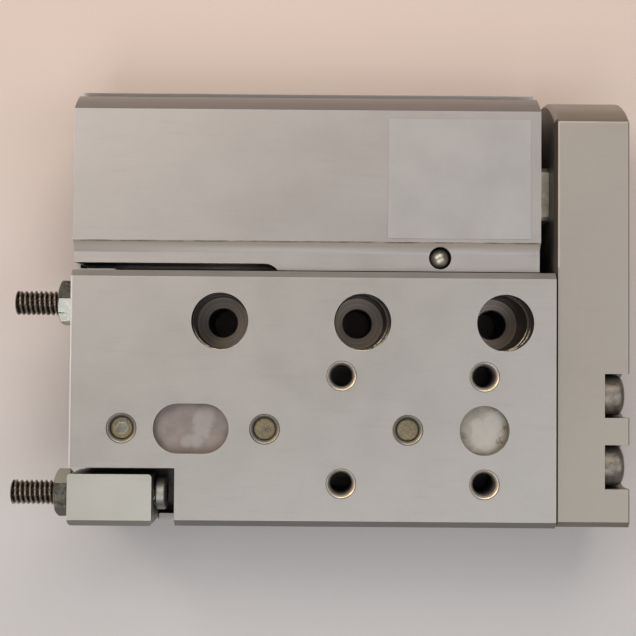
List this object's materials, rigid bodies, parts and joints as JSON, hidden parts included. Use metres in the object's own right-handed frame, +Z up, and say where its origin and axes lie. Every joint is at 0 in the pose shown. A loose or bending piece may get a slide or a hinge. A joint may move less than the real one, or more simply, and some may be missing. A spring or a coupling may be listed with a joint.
{
  "type": "pneumatic slide table",
  "caption": "Flat pneumatic slide table: a rod in a round-sided housing drives a slide plate on a ball-cage guide through a yoke plate, with an adjustable stop for each end.",
  "frame": {"origin": "middle of the housing's mounting face, on the face itself", "axes": "+X along the travel towards the yoke plate, +Y across towards the cylinder side, +Z up out of the slide plate's top"},
  "size_m": [0.0874, 0.063, 0.022],
  "materials": {
    "housing_anodised": "fine bead-blasted natural anodising",
    "slide_anodised": "fine bead-blasted natural anodising",
    "block_anodised": "fine bead-blasted natural anodising",
    "yoke_anodised": "satin natural anodising",
    "bearing_aluminium": "turned",
    "hardened_steel": "ground",
    "bright_steel": "polished",
    "head_steel": "worn satin",
    "thread_steel": "blackened, worn bright on the crests",
    "dull_steel": "dull",
    "zinc_steel": "bright zinc plated",
    "black_steel": "blackened",
    "screw_tip_steel": "dull, with adhesive residue",
    "black_rubber": "matt",
    "cage_brass": "satin",
    "magnet": "matt",
    "label_film": "smooth blank film"
  },
  "bodies": {
    "housing": {"housing": "housing_anodised", "sealing_ball": "bright_steel", "label": "label_film", "outer_raceway": "hardened_steel", "inner_raceway": "hardened_steel", "raceway_screws": "black_steel", "preload_screws": "black_steel", "cage_stops": "bright_steel", "cage_stop_screws": "black_steel", "retract_stop_block": "block_anodised", "stop_block_screws": "black_steel", "rear_end_cap": "bearing_aluminium", "rear_cap_seal": "black_rubber", "rear_retaining_ring": "black_steel", "front_bearing_cap": "bearing_aluminium", "front_cap_seal": "black_rubber", "front_retaining_ring": "black_steel", "rod_seal": "black_rubber"},
    "slide": {"slide_plate": "slide_anodised", "guide_rail": "hardened_steel", "rail_screws": "screw_tip_steel", "yoke_plate": "yoke_anodised", "yoke_screws": "head_steel", "yoke_pins": "bright_steel", "piston_rod": "bright_steel", "rod_screw": "black_steel", "piston": "bearing_aluminium", "piston_seals": "black_rubber", "piston_magnet": "magnet", "cushion_pads": "black_rubber"},
    "cages": {"outer_ball_cage": "cage_brass", "inner_ball_cage": "cage_brass", "guide_balls": "bright_steel"},
    "retract_stop": {"retract_stop_screw": "thread_steel", "retract_stop_buffer": "black_rubber"},
    "retract_nut": {"retract_stop_nut": "dull_steel"},
    "extend_stop": {"extend_stop_screw": "thread_steel", "extend_stop_buffer": "black_rubber"},
    "extend_nut": {"extend_stop_nut": "zinc_steel"}
  },
  "joints": [
    {"name": "slide_travel", "type": "slide", "parent": "housing", "child": "slide", "axis": [1, 0, 0], "range_m": [-0.0014, 0.018]},
    {"name": "cage_travel", "type": "slide", "parent": "housing", "child": "cages", "axis": [1, 0, 0], "range_m": [-0.0008, 0.0091]},
    {"name": "retract_screw_turn", "type": "hinge", "parent": "housing", "child": "retract_stop", "pos_m": [-0.025, -0.0272, 0.0174], "axis": [1, 0, 0], "range_deg": [-360, 360]},
    {"name": "retract_nut_turn", "type": "hinge", "parent": "housing", "child": "retract_nut", "pos_m": [-0.0344, -0.0272, 0.0174], "axis": [1, 0, 0], "range_deg": [-360, 360]},
    {"name": "extend_screw_turn", "type": "hinge", "parent": "slide", "child": "extend_stop", "pos_m": [-0.03, -0.00015, 0.0174], "axis": [1, 0, 0], "range_deg": [-360, 360]},
    {"name": "extend_nut_turn", "type": "hinge", "parent": "slide", "child": "extend_nut", "pos_m": [-0.0341, -0.00015, 0.0174], "axis": [1, 0, 0], "range_deg": [-360, 360]}
  ],
  "couplings": [
    {"joint": "cage_travel", "follows": "slide_travel", "ratio": 0.5}
  ]
}
